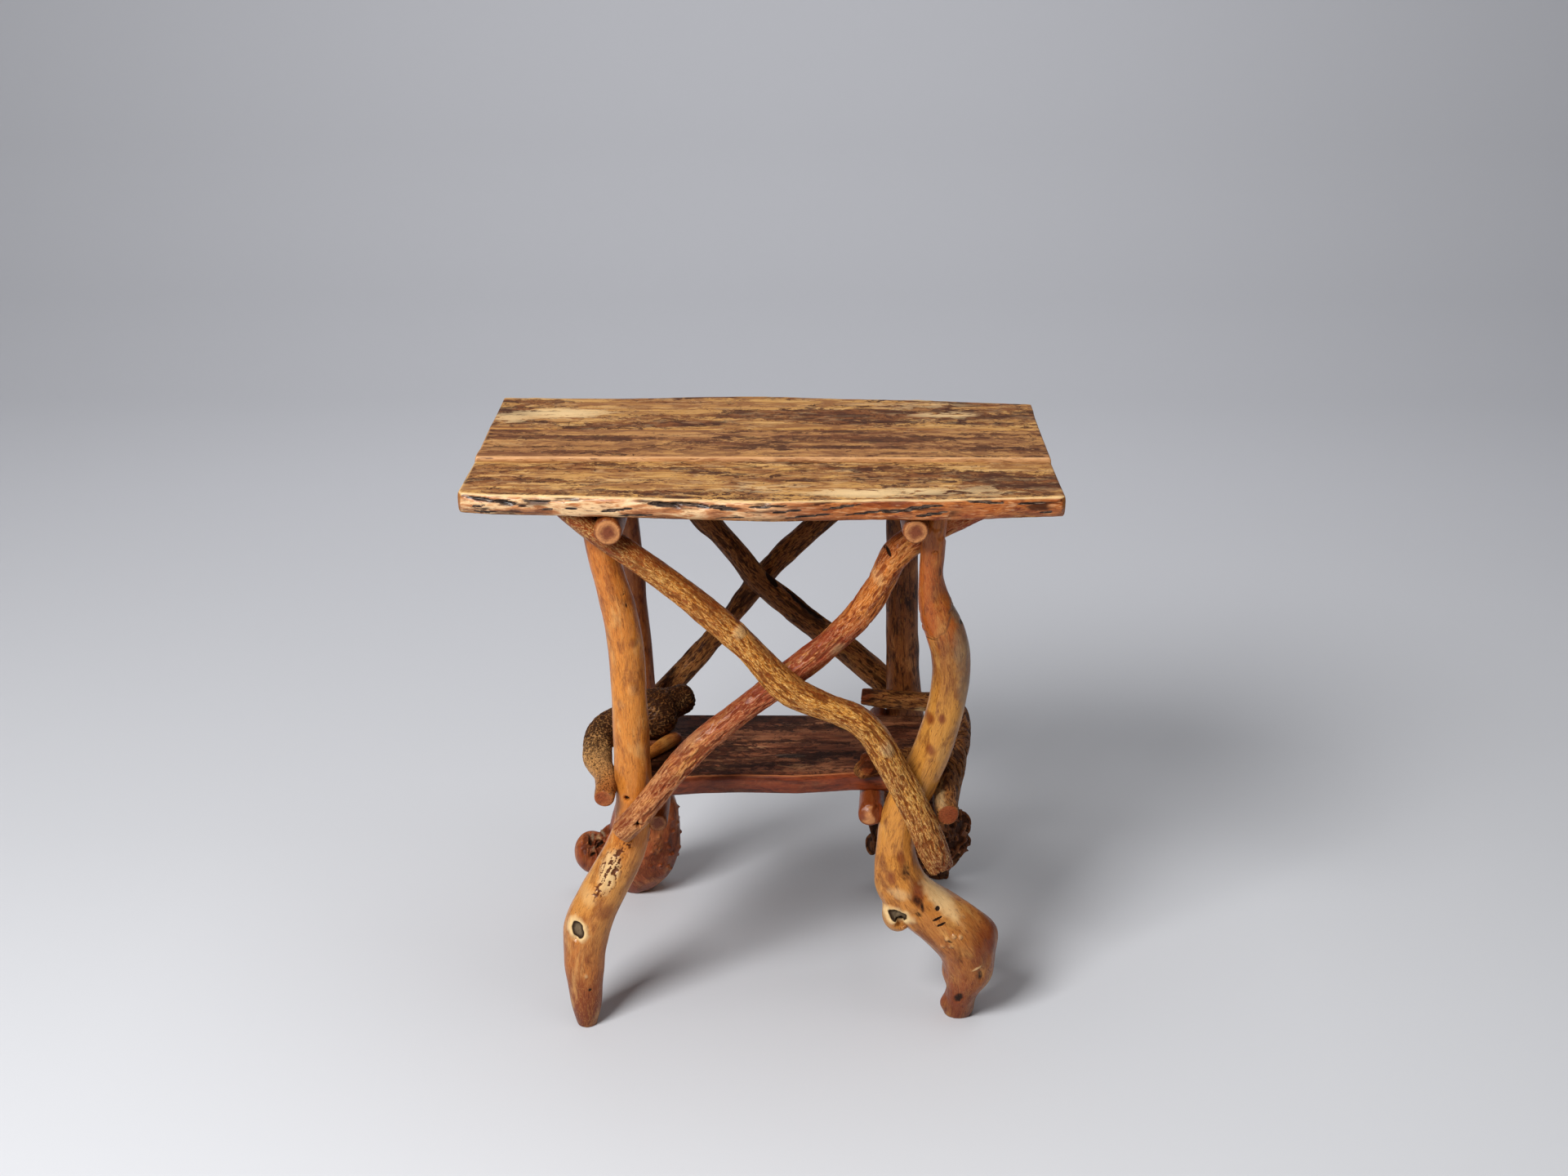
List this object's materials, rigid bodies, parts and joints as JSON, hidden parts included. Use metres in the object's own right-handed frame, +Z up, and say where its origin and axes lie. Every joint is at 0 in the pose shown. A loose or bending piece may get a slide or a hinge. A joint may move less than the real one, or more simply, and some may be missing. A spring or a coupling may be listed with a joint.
{
  "type": "rustic table",
  "caption": "Rustic table: live-edge plank top on bent limb legs with root feet, crossed limb braces front and back, branching side stretchers and a low plank shelf.",
  "frame": {"origin": "centre of the overall box's bottom, on the floor", "axes": "+X towards the right end as seen from the front, +Y towards the back, +Z up"},
  "size_m": [0.746, 0.478, 0.75],
  "materials": {
    "top_wood": "satin varnish over ochre boards with dark brown blotches",
    "shelf_wood": "satin, very dark stained board",
    "peeled_limb": "glossy varnish over smooth peeled amber limb",
    "red_limb": "glossy varnish over reddish limb",
    "dark_limb": "satin varnish over dark limb with bark left on",
    "scraped_bark": "glossy varnish over golden limb with dark flecks",
    "steel": "darkened steel"
  },
  "bodies": {
    "root": {"top_board_front": "top_wood", "top_board_middle": "top_wood", "top_board_rear": "top_wood", "top_bearer_left": "red_limb", "top_bearer_right": "red_limb", "leg_front_left": "peeled_limb", "leg_front_right": "peeled_limb", "leg_rear_left": "red_limb", "leg_rear_right": "dark_limb", "brace_front_upper": "scraped_bark", "brace_front_lower": "red_limb", "brace_rear_near": "dark_limb", "brace_rear_far": "dark_limb", "stretcher_left": "dark_limb", "stretcher_right": "dark_limb", "shelf_board": "shelf_wood", "shelf_bearer_left": "red_limb", "shelf_bearer_right": "red_limb", "shelf_peg": "peeled_limb", "wood_screws": "steel", "bearer_nail": "steel"}
  },
  "joints": []
}
